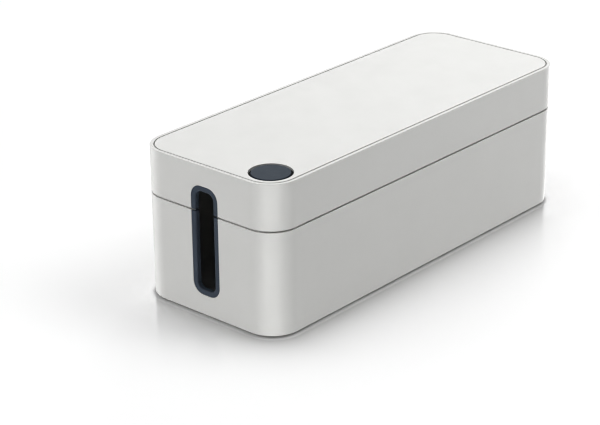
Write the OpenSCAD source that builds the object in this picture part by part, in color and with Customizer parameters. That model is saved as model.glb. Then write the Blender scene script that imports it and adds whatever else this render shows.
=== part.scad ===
// Cable management box. A moulded tub stands on four rubber feet and takes a
// multi-way power strip. A lid with an inset top panel lifts straight off it.
// Each end has an upright cable slot, edged by a soft trim that the seam
// between tub and lid cuts in two. A round outlet near one corner of the lid
// lets a charging cable out. A soft ring lines it, and a lift-out cap closes it.
// X runs along the box, Y from its front to its back, Z up from the table.

/* [Box] */
// Overall length, end face to end face
box_length = 406; // [300:1:480]
// Overall depth, front face to back face
box_depth = 156; // [140:1:200]
// Overall height, from the table to the top of the lid
box_height = 139; // [115:1:180]
// Outer radius of the four upright corners
corner_radius = 27; // [25:0.5:36]
// Thickness of the outer walls of the tub and the lid
wall = 3.2; // [2.6:0.1:3.6]
// Thickness of the tub's floor
floor_thickness = 2.8; // [2.2:0.1:4]
// Radius inside the tub where its walls meet its floor
floor_fillet = 5; // [2:0.5:8]
// Rounding of the tub's outer bottom edge
base_edge = 0.6; // [0.3:0.1:1.2]

/* [Seam] */
// Height of the lid's outer wall
lid_height = 41.4; // [34:0.1:52]
// Visible shadow gap between the tub and the lid
shadow_gap = 1.6; // [0.8:0.1:2]
// Thickness of the tongue that stands up from the tub's rim
tongue_thickness = 1.1; // [0.9:0.05:1.4]
// How far the tongue reaches up inside the lid
tongue_reach = 4.5; // [3:0.5:7]
// Clearance between the tongue and the lid's skirt
tongue_fit = 0.25; // [0.15:0.05:0.4]
// Rounding of the edges on both sides of the shadow gap
seam_edge = 0.25; // [0.15:0.05:0.5]

/* [Lid] */
// Width of the lid's rim around the top panel
rim_width = 3.1; // [2.8:0.1:4]
// Rounding of the rim's outer edge
rim_edge = 0.4; // [0.3:0.05:1.2]
// Width of the groove between the rim and the top panel
panel_groove = 1.2; // [0.6:0.1:1.6]
// Rounding of the edges along that groove and around the outlet
panel_edge = 0.15; // [0.1:0.05:0.4]
// Thickness of the top panel
panel_thickness = 2.4; // [1.8:0.1:3.2]
// Thickness of the lid's roof under the top panel
roof_thickness = 2.4; // [1.8:0.1:3.2]
// Radius inside the lid where its walls meet its roof
roof_fillet = 2.5; // [2:0.25:4]
// Thickness of the ribs under the roof
rib_thickness = 1.8; // [1.2:0.1:2.4]
// Depth of the ribs under the roof
rib_depth = 3.8; // [3:0.2:6]
// Distance of each lengthwise rib from the middle of the lid
rib_offset = 22; // [14:1:24]

/* [Panel hooks] */
// Distance of the outer hooks from the end faces
hook_end_inset = 73; // [60:1:90]
// Distance of each hook's outer face from the panel's edge
hook_edge_inset = 7; // [6:0.5:9]
// Width of each hook
hook_width = 8; // [6:0.5:12]
// Thickness of each hook's stem
hook_stem = 1.4; // [1.2:0.1:1.8]
// How far each hook catches under the roof
hook_catch = 1; // [0.6:0.1:1.4]
// Height of each hook's tapered nose
hook_nose = 2.6; // [2:0.1:4]
// Clearance around the hooks
hook_fit = 0.15; // [0.1:0.05:0.3]

/* [Cable outlet] */
// Radius of the round outlet in the top panel
outlet_radius = 19; // [15:0.5:20]
// Gap between the cap and the edge of the outlet
cap_gap = 2.2; // [1:0.1:2.6]
// How far the cap's face lies below the top panel
cap_sink = 0.1; // [0:0.05:0.4]
// Rounding of the cap's top edge
cap_edge = 0.5; // [0.3:0.1:1.2]
// Width of the ring's ledge that carries the cap
cap_ledge = 3; // [2:0.1:3.5]
// Thickness of the cap's face over its hollow
cap_face = 1.6; // [1.2:0.1:2]
// Wall thickness of the cap's plug
plug_wall = 1.8; // [1.2:0.1:2.4]
// Width of the four slits in the plug
plug_slit = 1.6; // [1:0.1:2.5]
// Height of the ridge around the plug's lower end
plug_ridge = 1.2; // [0.8:0.1:1.6]
// Clearance between the plug and the ring's bore
plug_fit = 0.3; // [0.2:0.05:0.4]
// Clearance between the plug's ridge and the ring's bore
ridge_fit = 0.06; // [0.03:0.01:0.1]
// Wall thickness of the ring's sleeve
ring_wall = 1.2; // [0.9:0.1:1.6]
// Thickness of the ring's flange
ring_flange = 0.8; // [0.6:0.1:1.2]
// How far the ring's flange reaches under the top panel
ring_lap = 1.6; // [1:0.1:2]
// Rounding of the edge where the plug enters the ring
ring_edge = 0.4; // [0.2:0.1:0.6]
// Clearance around the ring in the roof
ring_fit = 0.1; // [0.05:0.05:0.2]
// Depth of the collar below the roof that holds the ring
collar_depth = 3.6; // [2.5:0.1:5]
// Wall thickness of the collar
collar_wall = 1.8; // [1.4:0.1:2.4]

/* [Cable slots] */
// Clear width of each cable slot
slot_width = 20.2; // [16:0.2:26]
// Height of the slot's lower edge above the table
slot_bottom = 25.5; // [18:0.5:34]
// Distance from the top of the lid down to the slot's upper edge
slot_top_inset = 23.5; // [21:0.5:28]
// Radius of the slot's inner corners
slot_corner = 6; // [4:0.5:7.5]
// Width of the trim's face around the slot
trim_face = 5; // [4.2:0.1:6]
// Thickness of the trim's outer lip
trim_lip = 1.2; // [0.8:0.1:1.4]
// Thickness of the trim between the slot and the wall's edge
trim_web = 2.2; // [1.6:0.1:2.8]
// How far the trim's inner flange laps behind the wall
trim_flange = 2; // [1:0.1:3]
// Thickness of the trim's inner flange
trim_back = 1.4; // [1:0.1:2]
// Rounding of the trim's edge towards the slot
trim_inner_edge = 1; // [0.4:0.1:1.4]
// Rounding of the trim's outer edges
trim_outer_edge = 0.5; // [0.2:0.05:0.7]
// Bevel on the face of the trims' ends at the seam
trim_end_bevel = 0.3; // [0.1:0.05:0.5]
// Clearance between the trim and the wall that it grips
trim_fit = 0.12; // [0.08:0.02:0.2]

/* [Feet] */
// Radius of each foot
foot_radius = 9; // [6:0.5:12]
// Height of each foot below the tub
foot_height = 2; // [1.5:0.25:4]
// Depth of the pocket that holds each foot
foot_pocket = 0.9; // [0.5:0.1:1.3]
// Clearance around each foot in its pocket
foot_fit = 0.2; // [0.1:0.05:0.4]
// Rounding of each foot's lower edge
foot_edge = 0.7; // [0.3:0.1:1.2]
// Distance of each foot's centre from the nearest two faces
foot_inset = 32; // [26:1:44]

/* [Hidden] */
$fn = 96;

shell_colour = [0.91, 0.91, 0.90];
panel_colour = [0.93, 0.93, 0.92];
trim_colour = [0.25, 0.29, 0.34];
rubber_colour = [0.12, 0.12, 0.13];

// Pieces that are joined into one solid overlap by this much
overlap = 0.5;
// Cutting tools reach this far past the surface that they cut
past = 2;

// Levels above the table
tub_base = foot_height;
tub_floor = tub_base + floor_thickness;
lid_bottom = box_height - lid_height;
tub_top = lid_bottom - shadow_gap;
tongue_top = lid_bottom + tongue_reach;
roof_top = box_height - panel_thickness;
roof_under = roof_top - roof_thickness;

// The lid's skirt laps outside the tongue
skirt_thickness = wall - tongue_thickness - tongue_fit;
tongue_chamfer = tongue_thickness / 3;

// Outline of the top panel
panel_inset = rim_width + panel_groove;
panel_length = box_length - 2 * panel_inset;
panel_depth = box_depth - 2 * panel_inset;
panel_radius = corner_radius - panel_inset;

// Cable slots: heights, and the seam around them
slot_top = box_height - slot_top_inset;
slot_height = slot_top - slot_bottom;
slot_middle = (slot_top + slot_bottom) / 2;
trim_groove = wall - trim_lip + trim_fit;
trim_depth = trim_lip + trim_groove + trim_back;
seam_pad_margin = 2;
seam_pad_half = slot_width / 2 + trim_face + seam_pad_margin;
tongue_end_gap = 0.5;

// The outlet is concentric with the rounded corner of the box
outlet_x = -(box_length / 2 - corner_radius);
outlet_y = -(box_depth / 2 - corner_radius);
cap_radius = outlet_radius - cap_gap;
cap_top = box_height - cap_sink;
bore_radius = cap_radius - cap_ledge;
plug_radius = bore_radius - plug_fit;
plug_bottom = roof_under - collar_depth;
sleeve_radius = bore_radius + ring_wall;
flange_radius = outlet_radius + ring_lap;

// Hooks along the long edges, and one at each end
hook_drop = roof_thickness + hook_fit + hook_nose;
hook_spacing = box_length / 2 - hook_end_inset;
hook_side = panel_depth / 2 - hook_edge_inset;
hook_end = panel_length / 2 - hook_edge_inset;

foot_x = box_length / 2 - foot_inset;
foot_y = box_depth / 2 - foot_inset;

// ---------------------------------------------------------------- shapes

// Rectangle with true round corners
module rounded_rectangle(length, depth, radius) {
    square([length - 2 * radius, depth], center = true);
    square([length, depth - 2 * radius], center = true);
    for (x = [-1, 1], y = [-1, 1])
        translate([x * (length / 2 - radius), y * (depth / 2 - radius)])
            circle(r = radius);
}

// What a round edge removes from a square corner that lies at the origin and
// whose material is on the side of -X and -Y
module edge_cut(radius) {
    difference() {
        translate([-radius, -radius])
            square(radius + overlap);
        translate([-radius, -radius])
            circle(r = radius);
    }
}

// Carries a wall's cross-section around a rounded rectangle. In the section,
// X = 0 is the outline and negative X is inside it; Y becomes the height.
module around_outline(length, depth, radius) {
    for (turn = [0:3]) {
        across = turn % 2 == 0 ? length : depth;
        along = turn % 2 == 0 ? depth : length;
        rotate([0, 0, 90 * turn]) {
            translate([across / 2, along / 2 - radius, 0])
                rotate([90, 0, 0])
                    linear_extrude(height = along - 2 * radius)
                        children();
            translate([across / 2 - radius, along / 2 - radius, 0])
                rotate_extrude(angle = 90)
                    translate([radius, 0])
                        children();
        }
    }
}

// Puts its children at the left end of the box, or turned to the right end
module at_end(side) {
    rotate([0, 0, side == "left" ? 0 : 180])
        children();
}

// Stands a drawing up at the left end: X becomes Y, Y becomes Z from the
// slot's middle, and the drawing's own height runs inwards from the end face
module on_end_face() {
    translate([-box_length / 2, 0, slot_middle])
        rotate([90, 0, 90])
            children();
}

// Slot-shaped tool that is larger than the clear slot by grow all round and
// reaches inwards to the given depth
module slot_tool(grow, depth) {
    on_end_face()
        translate([0, 0, -past])
            linear_extrude(height = past + depth)
                rounded_rectangle(
                    slot_width + 2 * grow,
                    slot_height + 2 * grow,
                    slot_corner + grow
                );
}

// Through slot for the trim's web, with a recess for its outer lip
module slot_cuts() {
    for (side = ["left", "right"])
        at_end(side) {
            slot_tool(trim_web + trim_fit, wall + past);
            slot_tool(trim_face + trim_fit, trim_lip);
        }
}

// ---------------------------------------------------------------- tub

module tub_section() {
    difference() {
        polygon([
            [0, tub_base],
            [0, tub_top],
            [-(wall - tongue_thickness), tub_top],
            [-(wall - tongue_thickness), tongue_top - tongue_chamfer],
            [-(wall - tongue_thickness + tongue_chamfer), tongue_top],
            [-wall, tongue_top],
            [-wall, tub_floor + floor_fillet],
            [-(wall + floor_fillet), tub_floor + floor_fillet],
            [-(wall + floor_fillet), tub_base],
        ]);
        translate([-(wall + floor_fillet), tub_floor + floor_fillet])
            circle(r = floor_fillet);
        translate([0, tub_base])
            mirror([0, 1])
                edge_cut(base_edge);
        translate([0, tub_top])
            edge_cut(seam_edge);
    }
}

module tub_floor_plate() {
    inset = wall + floor_fillet - overlap;
    translate([0, 0, tub_base])
        linear_extrude(height = floor_thickness)
            rounded_rectangle(
                box_length - 2 * inset,
                box_depth - 2 * inset,
                corner_radius - inset
            );
}

// The tongue stops short of each slot, where the lid's wall comes down full
module tongue_gaps() {
    half = seam_pad_half + tongue_end_gap;
    for (side = ["left", "right"])
        at_end(side)
            translate([-box_length / 2 - past, -half, tub_top])
                cube([wall + 2 * past, 2 * half, tongue_top - tub_top + past]);
}

module foot_pockets() {
    for (x = [-1, 1], y = [-1, 1])
        translate([x * foot_x, y * foot_y, tub_base - past])
            cylinder(r = foot_radius + foot_fit, h = past + foot_pocket);
}

module base_tub() {
    color(shell_colour)
        difference() {
            union() {
                around_outline(box_length, box_depth, corner_radius)
                    tub_section();
                tub_floor_plate();
            }
            slot_cuts();
            tongue_gaps();
            foot_pockets();
        }
}

// ---------------------------------------------------------------- feet

module foot(x, y) {
    color(rubber_colour)
        translate([x * foot_x, y * foot_y, 0])
            rotate_extrude()
                difference() {
                    square([foot_radius, foot_height + foot_pocket]);
                    translate([foot_radius, 0])
                        mirror([0, 1])
                            edge_cut(foot_edge);
                }
}

// ---------------------------------------------------------------- slot trims

// The trim grips the wall's edge: an outer lip in the recess, a web along the
// cut edge, and an inner flange behind the wall. X = 0 is the clear slot and
// Y runs inwards from the end face.
module trim_section() {
    difference() {
        polygon([
            [0, 0],
            [trim_face, 0],
            [trim_face, trim_lip],
            [trim_web, trim_lip],
            [trim_web, trim_lip + trim_groove],
            [trim_web + trim_flange, trim_lip + trim_groove],
            [trim_web + trim_flange, trim_depth],
            [0, trim_depth],
        ]);
        rotate([0, 0, 180])
            edge_cut(trim_inner_edge);
        translate([trim_face, 0])
            mirror([0, 1])
                edge_cut(trim_outer_edge);
        translate([trim_web + trim_flange, trim_depth])
            edge_cut(trim_outer_edge);
        translate([0, trim_depth])
            mirror([1, 0])
                edge_cut(trim_outer_edge);
    }
}

module trim_ring() {
    on_end_face()
        around_outline(slot_width, slot_height, slot_corner)
            trim_section();
}

// Block between two heights that reaches inwards from the end face, where its
// long edges are bevelled
module bevelled_block(low, high) {
    half = slot_width / 2 + trim_face + past;
    bevel = trim_end_bevel;
    translate([-box_length / 2, half, 0])
        rotate([90, 0, 0])
            linear_extrude(height = 2 * half)
                polygon([
                    [-past, low + bevel + past],
                    [bevel, low],
                    [trim_depth + past, low],
                    [trim_depth + past, high],
                    [bevel, high],
                    [-past, high - bevel - past],
                ]);
}

// The part of a trim between two heights
module trim_between(side, low, high) {
    color(trim_colour)
        at_end(side)
            intersection() {
                trim_ring();
                bevelled_block(low, high);
            }
}

module tub_trim(side) {
    trim_between(side, tub_base, tub_top);
}

module lid_trim(side) {
    trim_between(side, lid_bottom, box_height);
}

// ---------------------------------------------------------------- lid

module lid_section() {
    difference() {
        polygon([
            [0, lid_bottom],
            [0, box_height],
            [-rim_width, box_height],
            [-rim_width, roof_top],
            [-(wall + roof_fillet), roof_top],
            [-(wall + roof_fillet), roof_under - roof_fillet],
            [-wall, roof_under - roof_fillet],
            [-wall, tongue_top],
            [-skirt_thickness, tongue_top],
            [-skirt_thickness, lid_bottom],
        ]);
        translate([-(wall + roof_fillet), roof_under - roof_fillet])
            circle(r = roof_fillet);
        translate([0, box_height])
            edge_cut(rim_edge);
        translate([-rim_width, box_height])
            mirror([1, 0])
                edge_cut(panel_edge);
        translate([0, lid_bottom])
            mirror([0, 1])
                edge_cut(seam_edge);
    }
}

module lid_roof_plate() {
    inset = wall + roof_fillet - overlap;
    translate([0, 0, roof_under])
        linear_extrude(height = roof_thickness)
            rounded_rectangle(
                box_length - 2 * inset,
                box_depth - 2 * inset,
                corner_radius - inset
            );
}

// Two lengthwise ribs and two crosswise ones stiffen the roof
module roof_ribs() {
    run_x = box_length - 2 * wall + overlap;
    run_y = box_depth - 2 * wall + overlap;
    height = rib_depth + overlap;
    for (y = [-1, 1])
        translate([-run_x / 2, y * rib_offset - rib_thickness / 2, roof_under - rib_depth])
            cube([run_x, rib_thickness, height]);
    for (x = [-1, 1])
        translate([x * hook_spacing / 2 - rib_thickness / 2, -run_y / 2, roof_under - rib_depth])
            cube([rib_thickness, run_y, height]);
}

// Beside each slot the skirt has the wall's full thickness down to the seam
module seam_pads() {
    inner = wall - skirt_thickness;
    for (side = ["left", "right"])
        at_end(side)
            translate([-box_length / 2 + skirt_thickness - overlap, -seam_pad_half, lid_bottom])
                cube([inner + overlap, 2 * seam_pad_half, tongue_reach + overlap]);
}

module outlet_collar() {
    translate([outlet_x, outlet_y, plug_bottom])
        cylinder(r = sleeve_radius + ring_fit + collar_wall, h = collar_depth + overlap);
}

// Bore for the ring's sleeve, with a rebate for its flange
module ring_seat() {
    translate([outlet_x, outlet_y, plug_bottom - past])
        cylinder(r = sleeve_radius + ring_fit, h = roof_top - plug_bottom + 2 * past);
    translate([outlet_x, outlet_y, roof_top - ring_flange])
        cylinder(r = flange_radius + ring_fit, h = ring_flange + past);
}

// Puts its children at each panel hook: the hook's outer face lies at the
// origin and +X points to the panel's edge
module at_each_hook() {
    for (y = [-1, 1], x = [-1, 0, 1])
        translate([x * hook_spacing, y * hook_side, 0])
            rotate([0, 0, 90 * y])
                children();
    for (x = [-1, 1])
        translate([x * hook_end, 0, 0])
            rotate([0, 0, x > 0 ? 0 : 180])
                children();
}

// Slot in the roof, with room for the hook to bend inwards as it goes in
module hook_slot() {
    room = hook_stem + hook_catch + hook_fit;
    width = hook_width + 2 * hook_fit;
    translate([-room, -width / 2, roof_under - past])
        cube([room + hook_fit, width, roof_thickness + 2 * past]);
}

module lid_shell() {
    color(shell_colour)
        difference() {
            union() {
                around_outline(box_length, box_depth, corner_radius)
                    lid_section();
                lid_roof_plate();
                roof_ribs();
                seam_pads();
                outlet_collar();
            }
            slot_cuts();
            ring_seat();
            at_each_hook()
                hook_slot();
        }
}

// ---------------------------------------------------------------- top panel

module panel_edge_section() {
    difference() {
        translate([-corner_radius / 2, roof_top])
            square([corner_radius / 2, panel_thickness]);
        translate([0, box_height])
            edge_cut(panel_edge);
    }
}

module panel_plate() {
    inset = corner_radius / 2 - overlap;
    translate([0, 0, roof_top])
        linear_extrude(height = panel_thickness)
            rounded_rectangle(
                panel_length - 2 * inset,
                panel_depth - 2 * inset,
                panel_radius - inset
            );
}

// Springy hook below the panel whose nose catches under the roof
module panel_hook() {
    translate([0, hook_width / 2, roof_top])
        rotate([90, 0, 0])
            linear_extrude(height = hook_width)
                polygon([
                    [-hook_stem, overlap],
                    [0, overlap],
                    [0, -(roof_thickness + hook_fit)],
                    [hook_catch, -(roof_thickness + hook_fit)],
                    [hook_catch - hook_stem / 2, -hook_drop],
                    [-hook_stem, -hook_drop],
                ]);
}

module outlet_hole() {
    translate([outlet_x, outlet_y, 0])
        rotate_extrude()
            union() {
                translate([0, roof_top - past])
                    square([outlet_radius, panel_thickness + 2 * past]);
                translate([outlet_radius, box_height])
                    mirror([1, 0])
                        edge_cut(panel_edge);
            }
}

module lid_panel() {
    color(panel_colour)
        difference() {
            union() {
                around_outline(panel_length, panel_depth, panel_radius)
                    panel_edge_section();
                panel_plate();
                at_each_hook()
                    panel_hook();
            }
            outlet_hole();
        }
}

// ---------------------------------------------------------------- outlet ring

// Its sleeve lines the collar. Its flange lies in the roof's rebate, held down
// by the top panel, and carries the cap.
module outlet_ring() {
    color(rubber_colour)
        translate([outlet_x, outlet_y, 0])
            rotate_extrude()
                difference() {
                    union() {
                        translate([bore_radius, plug_bottom])
                            square([ring_wall, roof_top - plug_bottom]);
                        translate([bore_radius, roof_top - ring_flange])
                            square([flange_radius - bore_radius, ring_flange]);
                    }
                    translate([bore_radius, roof_top])
                        mirror([1, 0])
                            edge_cut(ring_edge);
                }
}

// ---------------------------------------------------------------- outlet cap

module cap_section() {
    difference() {
        union() {
            translate([0, roof_top])
                square([cap_radius, cap_top - roof_top]);
            translate([0, plug_bottom])
                square([plug_radius, roof_top - plug_bottom]);
            translate([0, plug_bottom])
                square([bore_radius - ridge_fit, plug_ridge]);
        }
        translate([0, plug_bottom - past])
            square([plug_radius - plug_wall, cap_top - cap_face - plug_bottom + past]);
        translate([cap_radius, cap_top])
            edge_cut(cap_edge);
    }
}

module plug_slits() {
    reach = 2 * (bore_radius + past);
    for (turn = [45, 135])
        rotate([0, 0, turn])
            translate([-reach / 2, -plug_slit / 2, plug_bottom - past])
                cube([reach, plug_slit, roof_under - plug_bottom + past]);
}

module outlet_cap() {
    color(trim_colour)
        translate([outlet_x, outlet_y, 0])
            difference() {
                rotate_extrude()
                    cap_section();
                plug_slits();
            }
}

base_tub();
tub_trim("left");  // tub_trim_left
tub_trim("right");  // tub_trim_right
foot(-1, -1);  // foot_front_left
foot(1, -1);  // foot_front_right
foot(-1, 1);  // foot_back_left
foot(1, 1);  // foot_back_right
lid_shell();
lid_panel();
lid_trim("left");  // lid_trim_left
lid_trim("right");  // lid_trim_right
outlet_ring();
outlet_cap();
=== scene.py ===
"""Cable management box: the finish of every piece, on a plain white studio floor."""

import math

import bpy
from mathutils import Matrix, Vector


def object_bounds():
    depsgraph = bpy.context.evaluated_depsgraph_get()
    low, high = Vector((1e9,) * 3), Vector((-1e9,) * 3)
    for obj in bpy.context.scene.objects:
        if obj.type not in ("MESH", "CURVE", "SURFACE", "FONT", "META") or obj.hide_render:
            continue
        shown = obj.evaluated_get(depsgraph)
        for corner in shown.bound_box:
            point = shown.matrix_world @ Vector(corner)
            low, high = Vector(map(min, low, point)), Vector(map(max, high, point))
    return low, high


MM = 0.001

# Camera, in the frame's millimetres and degrees. Yaw turns from +X towards +Y.
CAMERA_EYE = (-1287.0, -1061.7, 756.8)
CAMERA_YAW = 41.396
CAMERA_PITCH = -23.537
CAMERA_ROLL = -0.567
SENSOR_WIDTH = 36.0
CAMERA_LENS = 119.09
CAMERA_REACH = 100.0

# Radius of the box's upright corners
CORNER_RADIUS = 27 * MM

# Moulded finish: the size and amount of the cloudiness of its colour, then of
# the slow changes of its roughness
CLOUD_SIZE = 50 * MM
CLOUD_TINT = 0.02
GLOSS_SIZE = 18 * MM
GLOSS_CHANGE = 0.05

# The floor's reach in metres, its brightness, and the size of its faint clouds.
# Away from the box, between two distances, it turns a little brighter
FLOOR_HALF = 20.0
FLOOR_BRIGHTNESS = (0.93, 0.95)
FLOOR_CLOUD_SIZE = 400 * MM
FLOOR_FAR_FROM = 150 * MM
FLOOR_FAR_TO = 700 * MM
FLOOR_FAR_GAIN = 0.06

# The floor's mirror gloss: its share beside the box, the distance over which it
# fades, and its own colour and roughness
FLOOR_GLOSS = 0.7
FLOOR_FADE = 22 * MM
GLOSS_COLOUR = (0.5, 0.5, 0.5, 1.0)
GLOSS_ROUGHNESS = 0.12

# Painted shade under the box: how much of its brightness the floor keeps there, where it has no
# gloss, and how far out of the box the painted shade reaches before the floor is back to its own
# finish
FLOOR_PAINTED_SHADE_KEEPS = 0.57
FLOOR_EDGE = 4.5 * MM

# The light that the floor sends up to the walls beside it, as from a table lit
# from below, and the distance over which it fades
FLOOR_GLOW = 0.2
FLOOR_GLOW_FADE = 60 * MM

# Softboxes: name, azimuth and elevation in degrees, distance and size in metres,
# and power in watts. All point at the middle of the box
SOFTBOXES = (
    ("left_softbox", 180.0, 35.0, 1.2, (0.7, 0.7), 2.3),
    ("front_softbox", 315.0, 60.0, 1.2, (0.7, 0.7), 3.4),
    ("front_small_softbox", 292.0, 50.0, 1.2, (0.45, 0.45), 1.55),
    ("right_softbox", 30.0, 24.0, 1.3, (0.7, 0.45), 3.4),
)
SOFTBOX_TARGET = (0.0, 0.0, 70 * MM)

# Dome: the strength of its upper half, of its part overhead and of its bright
# side, and the powers that narrow the last two
DOME_UP = 0.415
DOME_OVERHEAD = 0.83
OVERHEAD_POWER = 4.0
DOME_BANK = 0.85
BANK_POWER = 3.0
BANK_AZIMUTH = 120.0
BANK_ELEVATION = 25.0

# Strips of light low around the box, which it mirrors: azimuth and strength of
# each, and their half width in degrees. They fade in and out between two heights
# at their foot and at their top. A height is the Z of a direction of length 1
STRIPS = (
    (-6.0, 2.0),
    (30.0, 2.0),
    (102.0, 3.1),
    (182.0, 3.8),
    (222.0, 7.2),
    (262.0, 3.7),
    (302.0, 1.0),
)
STRIP_HALF_WIDTH = 40.0
STRIP_FOOT = (-0.95, -0.65)
STRIP_TOP = (-0.06, 0.0)

# Bright backdrop behind the box, which it mirrors too: azimuth, strength, half
# width in degrees, and the height from which it has its full strength
BACKDROP_AZIMUTH = CAMERA_YAW
BACKDROP_STRENGTH = 1.9
BACKDROP_HALF_WIDTH = 100.0
BACKDROP_FOOT = 0.1

DISPLAY_GAMMA = 0.8
PIXEL_FILTER = 1.25
WHITE = (1.0, 1.0, 1.0, 1.0)

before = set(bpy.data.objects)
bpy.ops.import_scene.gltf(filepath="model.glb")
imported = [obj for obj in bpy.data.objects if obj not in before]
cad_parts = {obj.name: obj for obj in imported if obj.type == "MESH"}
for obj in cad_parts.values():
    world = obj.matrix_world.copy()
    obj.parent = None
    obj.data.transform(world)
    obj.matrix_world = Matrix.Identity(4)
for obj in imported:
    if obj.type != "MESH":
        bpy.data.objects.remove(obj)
cad_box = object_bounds()


# ---------------------------------------------------------------- node helpers


class Shader:
    """Builds one node tree with short calls."""

    def __init__(self, tree):
        self.tree = tree
        self.tree.nodes.clear()

    def node(self, kind, settings=(), **inputs):
        made = self.tree.nodes.new(kind)
        for name, value in dict(settings).items():
            setattr(made, name, value)
        for name, value in inputs.items():
            self.feed(made.inputs[name.replace("_", " ")], value)
        return made

    def feed(self, socket, value):
        if isinstance(value, bpy.types.NodeSocket):
            self.tree.links.new(value, socket)
        else:
            socket.default_value = value

    def feed_all(self, made, values):
        for socket, value in zip(made.inputs, values):
            self.feed(socket, value)

    def math(self, operation, *values):
        made = self.node("ShaderNodeMath", {"operation": operation})
        self.feed_all(made, values)
        return made.outputs[0]

    def total(self, first, *others):
        for other in others:
            first = self.math("ADD", first, other)
        return first

    def product(self, first, *others):
        for other in others:
            first = self.math("MULTIPLY", first, other)
        return first

    def fading(self, distance, reach):
        """Falls from 1 towards 0, to about a third for each reach of distance."""
        return self.math("EXPONENT", self.math("DIVIDE", distance, -reach))

    def vector(self, operation, *values, output="Vector"):
        made = self.node("ShaderNodeVectorMath", {"operation": operation})
        self.feed_all(made, values)
        return made.outputs[output]

    def remap(self, value, low, high, out_low, out_high, blend="LINEAR"):
        made = self.node(
            "ShaderNodeMapRange",
            {"interpolation_type": blend},
            Value=value,
            From_Min=low,
            From_Max=high,
            To_Min=out_low,
            To_Max=out_high,
        )
        return made.outputs["Result"]

    def noise(self, coordinates, size, detail=2.0, roughness=0.5):
        made = self.node(
            "ShaderNodeTexNoise",
            Vector=coordinates,
            Scale=1.0 / size,
            Detail=detail,
            Roughness=roughness,
        )
        return made.outputs["Fac"]

    def mix(self, data_type, factor, a, b):
        made = self.node("ShaderNodeMix", {"data_type": data_type}, Factor=factor, A=a, B=b)
        return made.outputs["Result"]


def direction(azimuth, elevation=0.0):
    """Unit vector towards an azimuth and an elevation, both in degrees."""
    across, up = math.radians(azimuth), math.radians(elevation)
    flat = math.cos(up)
    return (math.cos(across) * flat, math.sin(across) * flat, math.sin(up))


# ---------------------------------------------------------------- materials


def moulded(name, colour, roughness, grain, depth, specular=0.5):
    """Injection-moulded plastic or rubber: a fine eroded grain that the tool
    leaves, a faint cloudiness of its colour, and slow changes of its gloss."""
    material = bpy.data.materials.new(name)
    material.use_nodes = True
    make = Shader(material.node_tree)
    place = make.node("ShaderNodeTexCoord").outputs["Object"]

    cloud = make.noise(place, CLOUD_SIZE, detail=3.0)
    darker = tuple(channel * (1.0 - CLOUD_TINT) for channel in colour)
    lighter = tuple(min(channel * (1.0 + CLOUD_TINT), 1.0) for channel in colour)
    shade = make.mix("RGBA", cloud, (*darker, 1.0), (*lighter, 1.0))

    flow = make.noise(place, GLOSS_SIZE, detail=4.0, roughness=0.6)
    gloss = make.remap(flow, 0.3, 0.7, roughness - GLOSS_CHANGE, roughness + GLOSS_CHANGE)

    fine = make.noise(place, grain, detail=3.0, roughness=0.6)
    bump = make.node("ShaderNodeBump", Strength=1.0, Distance=depth, Height=fine)

    surface = make.node(
        "ShaderNodeBsdfPrincipled",
        Base_Color=shade,
        Roughness=gloss,
        Specular_IOR_Level=specular,
        Normal=bump.outputs["Normal"],
    )
    make.node("ShaderNodeOutputMaterial", Surface=surface.outputs["BSDF"])
    return material


# For each material slot: name, colour, roughness, grain size and grain depth
FINISHES = {
    "shell_plastic": moulded("satin_shell", (0.62, 0.62, 0.607), 0.42, 0.35 * MM, 0.006 * MM),
    "panel_plastic": moulded("satin_panel", (0.62, 0.62, 0.607), 0.38, 0.30 * MM, 0.004 * MM),
    "trim_rubber": moulded(
        "slate_trim", (0.052, 0.066, 0.088), 0.8, 0.25 * MM, 0.008 * MM, specular=0.3
    ),
    "cap_plastic": moulded(
        "slate_cap", (0.037, 0.050, 0.067), 0.6, 0.25 * MM, 0.006 * MM, specular=0.26
    ),
    # The ring at the foot of the gap round the cap is near black, which paints the deep shade at
    # the bottom of that gap: painted shade
    "black_rubber": moulded(
        "black_rubber", (0.018, 0.018, 0.019), 0.8, 0.30 * MM, 0.01 * MM, specular=0.3
    ),
}


def dress_nodes():
    """Gives each CAD node the finish of its material slot."""
    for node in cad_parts.values():
        for place in node.material_slots:
            place.material = FINISHES[place.material.name]


# ---------------------------------------------------------------- studio


def distance_from_box(make, place, low, high):
    """Distance on the floor from the box's outline with its round corners."""
    middle = (low + high) / 2
    core = (high - low) / 2 - Vector((CORNER_RADIUS, CORNER_RADIUS, 0.0))
    offset = make.vector("SUBTRACT", place, (middle.x, middle.y, 0.0))
    past_core = make.vector("SUBTRACT", make.vector("ABSOLUTE", offset), (core.x, core.y, 0.0))
    beyond = make.vector("MAXIMUM", past_core, (0.0, 0.0, 0.0))
    reach = make.vector("LENGTH", beyond, output="Value")
    return make.math("MAXIMUM", make.math("SUBTRACT", reach, CORNER_RADIUS), 0.0)


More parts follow.
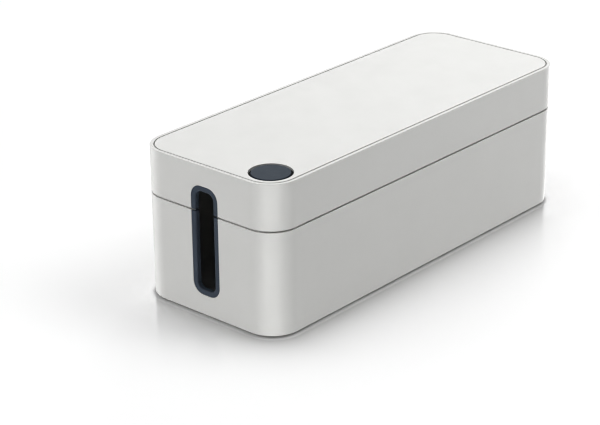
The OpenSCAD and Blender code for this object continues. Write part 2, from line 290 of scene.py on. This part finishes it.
def floor_material(low, high):
    """White floor, matte, with a painted shade that darkens it under the box. Beside the box it has
    a mirror gloss that only the camera sees, and a faint glow that only lights the walls;
    both fade with distance from the box."""
    material = bpy.data.materials.new("studio_floor")
    material.use_nodes = True
    make = Shader(material.node_tree)
    place = make.node("ShaderNodeTexCoord").outputs["Object"]
    path = make.node("ShaderNodeLightPath").outputs
    distance = distance_from_box(make, place, low, high)
    outside = make.remap(distance, 0.0, FLOOR_EDGE, 0.0, 1.0, blend="SMOOTHSTEP")

    plain = make.remap(make.noise(place, FLOOR_CLOUD_SIZE), 0.0, 1.0, *FLOOR_BRIGHTNESS)
    far = make.remap(distance, FLOOR_FAR_FROM, FLOOR_FAR_TO, 0.0, FLOOR_FAR_GAIN)
    # Painted shade: the floor's brightness drops under the box and up to FLOOR_EDGE out of it
    painted_shade = make.remap(outside, 0.0, 1.0, FLOOR_PAINTED_SHADE_KEEPS, 1.0)
    brightness = make.product(make.total(plain, far), painted_shade)
    colour = make.node("ShaderNodeCombineColor", Red=brightness, Green=brightness, Blue=brightness)
    matte = make.node("ShaderNodeBsdfDiffuse", Color=colour.outputs["Color"])

    fade = make.fading(distance, FLOOR_FADE)
    mirror = make.product(fade, outside, FLOOR_GLOSS, path["Is Camera Ray"])
    gloss = make.node("ShaderNodeBsdfGlossy", Color=GLOSS_COLOUR, Roughness=GLOSS_ROUGHNESS)
    finish = make.node("ShaderNodeMixShader")
    make.feed_all(finish, (mirror, matte.outputs["BSDF"], gloss.outputs["BSDF"]))

    near = make.fading(distance, FLOOR_GLOW_FADE)
    strength = make.product(near, FLOOR_GLOW, path["Is Diffuse Ray"])
    glow = make.node("ShaderNodeEmission", Color=WHITE, Strength=strength)
    surface = make.node("ShaderNodeAddShader")
    make.feed_all(surface, (finish.outputs["Shader"], glow.outputs["Emission"]))
    make.node("ShaderNodeOutputMaterial", Surface=surface.outputs["Shader"])
    return material


def studio_floor(low, high):
    corners = [(x * FLOOR_HALF, y * FLOOR_HALF, 0) for x, y in ((-1, -1), (1, -1), (1, 1), (-1, 1))]
    mesh = bpy.data.meshes.new("studio_floor")
    mesh.from_pydata(corners, [], [(0, 1, 2, 3)])
    mesh.materials.append(floor_material(low, high))
    floor = bpy.data.objects.new("studio_floor", mesh)
    bpy.context.scene.collection.objects.link(floor)
    floor.visible_glossy = False


def softbox(name, azimuth, elevation, distance, size, power):
    """Rectangular light in a direction from the box, turned towards it. It lights
    the scene without showing as a reflection."""
    data = bpy.data.lights.new(name, "AREA")
    data.shape = "RECTANGLE"
    data.size, data.size_y = size
    data.energy = power
    light = bpy.data.objects.new(name, data)
    bpy.context.scene.collection.objects.link(light)
    away = Vector(direction(azimuth, elevation)) * distance
    light.location = away + Vector(SOFTBOX_TARGET)
    light.rotation_mode = "QUATERNION"
    light.rotation_quaternion = (-away).to_track_quat("-Z", "Y")
    light.visible_glossy = False


def dome_light(make, towards, height):
    """Strength of the soft dome, which lights the box."""
    up = make.math("MAXIMUM", height, 0.0)
    overhead = make.math("POWER", up, OVERHEAD_POWER)
    side = direction(BANK_AZIMUTH, BANK_ELEVATION)
    facing = make.vector("DOT_PRODUCT", towards, side, output="Value")
    bank = make.math("POWER", make.math("MAXIMUM", facing, 0.0), BANK_POWER)
    return make.total(
        make.product(up, DOME_UP),
        make.product(overhead, DOME_OVERHEAD),
        make.product(bank, DOME_BANK),
    )


def mirrored_light(make, towards, height):
    """Strength of what the box mirrors: low strips of light all round, and a
    bright backdrop above the floor behind it."""
    flat = make.vector("NORMALIZE", make.vector("MULTIPLY", towards, (1.0, 1.0, 0.0)))

    def strip(azimuth, half_width, strength):
        facing = make.vector("DOT_PRODUCT", flat, direction(azimuth), output="Value")
        edge = math.cos(math.radians(half_width))
        return make.remap(facing, edge, 1.0, 0.0, strength, blend="SMOOTHSTEP")

    strips = make.total(
        *(strip(azimuth, STRIP_HALF_WIDTH, strength) for azimuth, strength in STRIPS)
    )
    above_foot = make.remap(height, *STRIP_FOOT, 0.0, 1.0, blend="SMOOTHSTEP")
    below_top = make.remap(height, *STRIP_TOP, 1.0, 0.0, blend="SMOOTHSTEP")
    backdrop = strip(BACKDROP_AZIMUTH, BACKDROP_HALF_WIDTH, 1.0)
    rise = make.remap(height, 0.0, BACKDROP_FOOT, 0.0, BACKDROP_STRENGTH, blend="SMOOTHSTEP")
    return make.total(make.product(strips, below_top, above_foot), make.product(backdrop, rise))


def studio_light():
    """Softboxes and a world that looks plain white to the camera, is a soft dome
    to what it lights, and strips and a backdrop to what mirrors it."""
    scene = bpy.context.scene
    world = bpy.data.worlds.new("studio")
    scene.world = world
    world.use_nodes = True
    world.cycles.sampling_method = "NONE"
    make = Shader(world.node_tree)
    towards = make.node("ShaderNodeTexCoord").outputs["Generated"]
    height = make.node("ShaderNodeSeparateXYZ", Vector=towards).outputs["Z"]
    path = make.node("ShaderNodeLightPath").outputs
    dome = dome_light(make, towards, height)
    mirrored = mirrored_light(make, towards, height)
    lit = make.mix("FLOAT", path["Is Glossy Ray"], dome, mirrored)
    seen = make.mix("FLOAT", path["Is Camera Ray"], lit, 1.0)
    light = make.node("ShaderNodeBackground", Color=WHITE, Strength=seen)
    make.node("ShaderNodeOutputWorld", Surface=light.outputs["Background"])

    for name, azimuth, elevation, distance, size, power in SOFTBOXES:
        softbox(name, azimuth, elevation, distance, size, power)
    scene.view_settings.view_transform = "Standard"
    scene.view_settings.gamma = DISPLAY_GAMMA
    scene.cycles.filter_width = PIXEL_FILTER


def studio_camera():
    data = bpy.data.cameras.new("camera")
    data.sensor_width = SENSOR_WIDTH
    data.lens = CAMERA_LENS
    data.clip_end = CAMERA_REACH
    camera = bpy.data.objects.new("camera", data)
    bpy.context.scene.collection.objects.link(camera)
    turn = (
        Matrix.Rotation(math.radians(CAMERA_YAW - 90), 4, "Z")
        @ Matrix.Rotation(math.radians(CAMERA_PITCH + 90), 4, "X")
        @ Matrix.Rotation(math.radians(CAMERA_ROLL), 4, "Z")
    )
    camera.matrix_world = Matrix.Translation(Vector(CAMERA_EYE) * MM) @ turn
    bpy.context.scene.camera = camera


dress_nodes()
studio_camera()
studio_light()
studio_floor(*cad_box)

bpy.context.view_layer.update()
